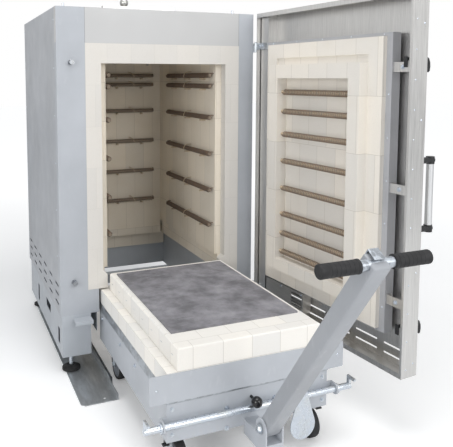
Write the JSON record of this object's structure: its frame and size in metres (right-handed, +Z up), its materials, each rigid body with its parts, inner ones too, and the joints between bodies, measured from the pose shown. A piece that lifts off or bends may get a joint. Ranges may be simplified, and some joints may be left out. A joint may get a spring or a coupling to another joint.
{
  "type": "bogie hearth chamber furnace",
  "caption": "Electric chamber furnace with side-hinged door and a brick-topped hearth bogie that rolls out on wheels with a drawbar.",
  "frame": {"origin": "on the floor, under the front face of the cabinet, on the centre line of the chamber mouth; centre of the four floor anchor holes", "axes": "+X to the right seen from the operator's side, +Y into the furnace, +Z up"},
  "size_m": [1.3506, 2.7516, 1.9145],
  "materials": {
    "grey_paint": "satin powder coat",
    "light_paint": "satin powder coat",
    "brick": "matte light firebrick",
    "board": "matte fibre board",
    "hearth_stone": "matte silicon carbide",
    "stainless": "brushed",
    "galvanised": "galvanised",
    "zinc": "zinc plated",
    "dark_steel": "mill finish",
    "heating_wire": "oxidised wire",
    "element_ceramic": "matte",
    "black_rubber": "matte",
    "tyre": "matte",
    "black_plastic": "matte",
    "knob_plastic": "gloss",
    "bar_aluminium": "satin anodised"
  },
  "bodies": {
    "furnace": {"base_rails": "grey_paint", "base_frame": "grey_paint", "foot_pads": "black_rubber", "foot_stems": "zinc", "floor_plates": "dark_steel", "guide_rails": "galvanised", "front_fascia": "light_paint", "side_panels": "grey_paint", "roof_panel": "grey_paint", "rear_panel": "grey_paint", "latch_keepers": "zinc", "collar_bricks": "brick", "chamber_bricks": "brick", "insulation_boards": "board", "well_lining": "grey_paint", "flue_tube": "element_ceramic", "heating_coils": "heating_wire", "element_tubes": "element_ceramic", "element_hooks": "element_ceramic", "thermocouple": "stainless", "exhaust_guide": "stainless", "hinge_brackets": "galvanised", "lock_catches": "light_paint"},
    "exhaust_damper": {"exhaust_slide": "stainless"},
    "door": {"door_shell": "stainless", "door_pan": "light_paint", "door_bricks": "brick", "door_coils": "heating_wire", "door_element_tubes": "element_ceramic", "door_frame": "stainless", "door_hinge_leaves": "galvanised", "door_lead": "black_rubber", "terminal_cover": "stainless", "door_grip": "bar_aluminium", "door_handle_arms": "black_plastic", "clamp_bosses": "galvanised"},
    "lower_clamp": {"clamp_lever_lower": "black_plastic"},
    "upper_clamp": {"clamp_lever_upper": "black_plastic"},
    "bogie": {"hearth_bricks": "brick", "hearth_plate": "hearth_stone", "hearth_board": "board", "hearth_tray": "galvanised", "front_panel": "light_paint", "bogie_frame": "light_paint", "rear_forks": "galvanised", "tow_bracket": "light_paint"},
    "rear_wheel_left": {"rear_wheel_left": "tyre"},
    "rear_wheel_right": {"rear_wheel_right": "tyre"},
    "castor_left": {"castor_fork_left": "galvanised"},
    "castor_right": {"castor_fork_right": "galvanised"},
    "castor_wheel_left": {"castor_wheel_left": "tyre"},
    "castor_wheel_right": {"castor_wheel_right": "tyre"},
    "castor_brake_left": {"castor_brake_left": "black_plastic"},
    "castor_brake_right": {"castor_brake_right": "black_plastic"},
    "lock": {"lock_shaft": "zinc", "foot_pedal": "galvanised"},
    "plunger": {"pull_knob": "knob_plastic"},
    "tiller": {"tiller": "light_paint", "tiller_bar": "galvanised", "hand_grips": "black_rubber"}
  },
  "joints": [
    {"name": "bogie_travel", "type": "slide", "parent": "furnace", "child": "bogie", "axis": [0, 1, 0], "range_m": [-0.7, 0.943]},
    {"name": "door_hinge", "type": "hinge", "parent": "furnace", "child": "door", "pos_m": [0.519, -0.014, 0.33], "axis": [0, 0, 1], "range_deg": [-8, 80]},
    {"name": "tiller_pivot", "type": "hinge", "parent": "bogie", "child": "tiller", "pos_m": [0, -1.082, 0.21], "axis": [1, 0, 0], "range_deg": [-33, 0]},
    {"name": "lock_shaft_turn", "type": "hinge", "parent": "bogie", "child": "lock", "pos_m": [0, -0.962, 0.22], "axis": [1, 0, 0], "range_deg": [-42, 0]},
    {"name": "lower_clamp_turn", "type": "hinge", "parent": "door", "child": "lower_clamp", "pos_m": [0.70451, -1.02472, 0.47], "axis": [0.9952, 0.0976, 0], "range_deg": [0, 90]},
    {"name": "upper_clamp_turn", "type": "hinge", "parent": "door", "child": "upper_clamp", "pos_m": [0.70451, -1.02472, 1.563], "axis": [0.9952, 0.0976, 0], "range_deg": [0, 90]},
    {"name": "exhaust_slide_travel", "type": "slide", "parent": "furnace", "child": "exhaust_damper", "axis": [1, 0, 0], "range_m": [-0.14, 0]},
    {"name": "rear_wheel_spin_left", "type": "hinge", "parent": "bogie", "child": "rear_wheel_left", "pos_m": [-0.3, -0.131, 0.075], "axis": [1, 0, 0], "continuous": true},
    {"name": "rear_wheel_spin_right", "type": "hinge", "parent": "bogie", "child": "rear_wheel_right", "pos_m": [0.3, -0.131, 0.075], "axis": [1, 0, 0], "continuous": true},
    {"name": "castor_swivel_left", "type": "hinge", "parent": "bogie", "child": "castor_left", "pos_m": [-0.292, -0.862, 0.13], "axis": [0, 0, 1], "continuous": true},
    {"name": "castor_spin_left", "type": "hinge", "parent": "castor_left", "child": "castor_wheel_left", "pos_m": [-0.292, -0.898, 0.0625], "axis": [1, 0, 0], "continuous": true},
    {"name": "castor_brake_left", "type": "hinge", "parent": "castor_left", "child": "castor_brake_left", "pos_m": [-0.292, -0.862, 0.096], "axis": [1, 0, 0], "range_deg": [-18, 0]},
    {"name": "castor_swivel_right", "type": "hinge", "parent": "bogie", "child": "castor_right", "pos_m": [0.292, -0.862, 0.13], "axis": [0, 0, 1], "continuous": true},
    {"name": "castor_spin_right", "type": "hinge", "parent": "castor_right", "child": "castor_wheel_right", "pos_m": [0.292, -0.898, 0.0625], "axis": [1, 0, 0], "continuous": true},
    {"name": "castor_brake_right", "type": "hinge", "parent": "castor_right", "child": "castor_brake_right", "pos_m": [0.292, -0.862, 0.096], "axis": [1, 0, 0], "range_deg": [-18, 0]},
    {"name": "plunger_pull", "type": "slide", "parent": "bogie", "child": "plunger", "axis": [0, -1, 0], "range_m": [0, 0.012], "stiffness_N_per_m": 300}
  ],
  "couplings": [
    {"joint": "rear_wheel_spin_left", "follows": "bogie_travel", "rad_per_m": -13.333},
    {"joint": "rear_wheel_spin_right", "follows": "bogie_travel", "rad_per_m": -13.333}
  ]
}
